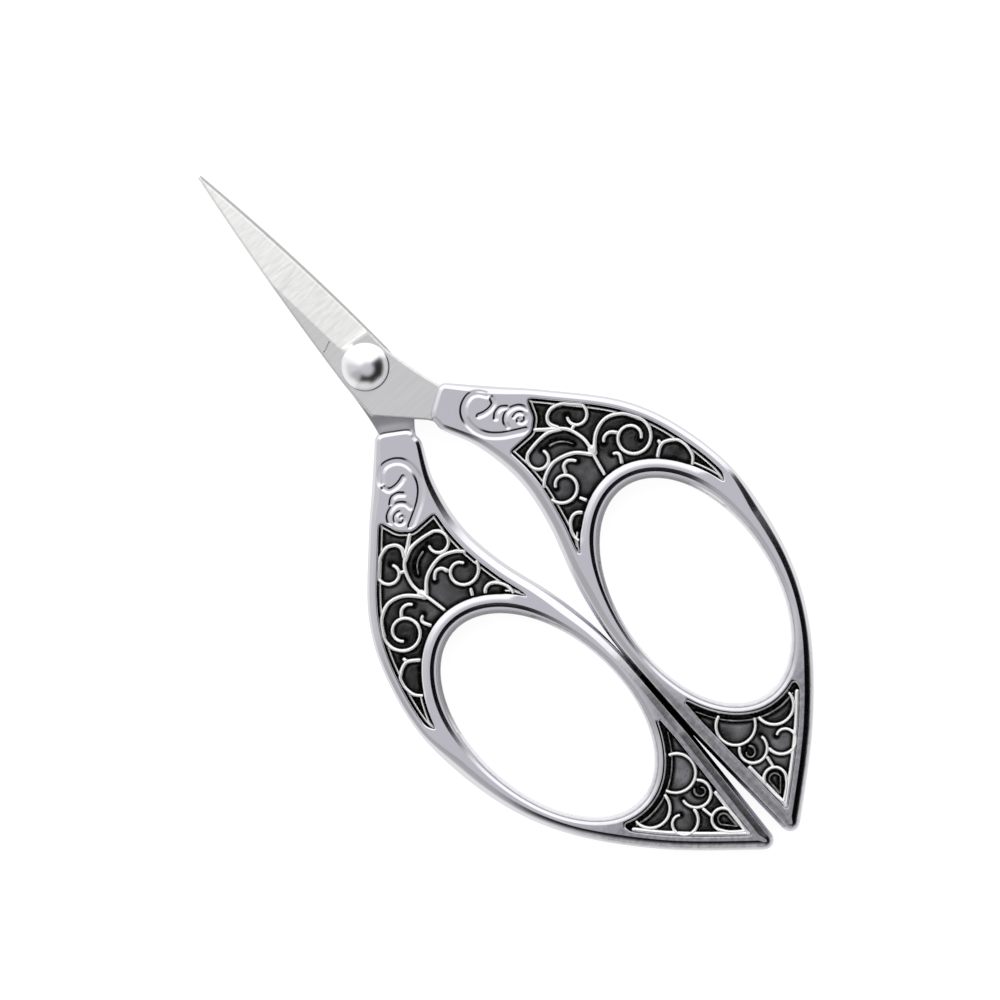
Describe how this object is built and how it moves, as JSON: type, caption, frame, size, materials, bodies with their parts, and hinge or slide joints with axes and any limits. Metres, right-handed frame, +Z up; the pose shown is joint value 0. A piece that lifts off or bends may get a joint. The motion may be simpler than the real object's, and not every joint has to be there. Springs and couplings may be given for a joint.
{
  "type": "embroidery scissors",
  "caption": "Small closed embroidery scissors with slim pointed blades on a domed rivet and leaf-shaped handles with oval finger holes and scroll filigree over black enamel.",
  "frame": {"origin": "on the pivot axis, at the table on which the closed scissors lie, in the middle of the rivet's peened tail", "axes": "+Y from the pivot to the blade tips, +X to the right-hand handle, +Z up from the table along the pivot axis"},
  "size_m": [0.0558, 0.1199, 0.005],
  "materials": {
    "cast_silver": "die-cast zinc with bright silver plate, softly polished and slightly grey",
    "bright_filigree": "bright silver plate on raised scroll wires",
    "black_enamel": "glossy black fill on the floor of the recesses",
    "blade_steel": "satin stainless steel with a brighter ground bevel",
    "rivet_steel": "polished steel"
  },
  "bodies": {
    "rear_half": {"rear_blade": "blade_steel", "left_handle": "cast_silver", "pivot_rivet": "rivet_steel", "pivot_washer": "rivet_steel", "left_front_shoulder_enamel": "black_enamel", "left_front_shoulder_filigree": "bright_filigree", "left_front_tail_enamel": "black_enamel", "left_front_tail_filigree": "bright_filigree", "left_back_shoulder_enamel": "black_enamel", "left_back_shoulder_filigree": "bright_filigree", "left_back_tail_enamel": "black_enamel", "left_back_tail_filigree": "bright_filigree"},
    "front_half": {"front_blade": "blade_steel", "right_handle": "cast_silver", "right_front_shoulder_enamel": "black_enamel", "right_front_shoulder_filigree": "bright_filigree", "right_front_tail_enamel": "black_enamel", "right_front_tail_filigree": "bright_filigree", "right_back_shoulder_enamel": "black_enamel", "right_back_shoulder_filigree": "bright_filigree", "right_back_tail_enamel": "black_enamel", "right_back_tail_filigree": "bright_filigree"}
  },
  "joints": [
    {"name": "blade_pivot", "type": "hinge", "parent": "rear_half", "child": "front_half", "pos_m": [0, 0, 0], "axis": [0, 0, 1], "range_deg": [0, 125]}
  ]
}
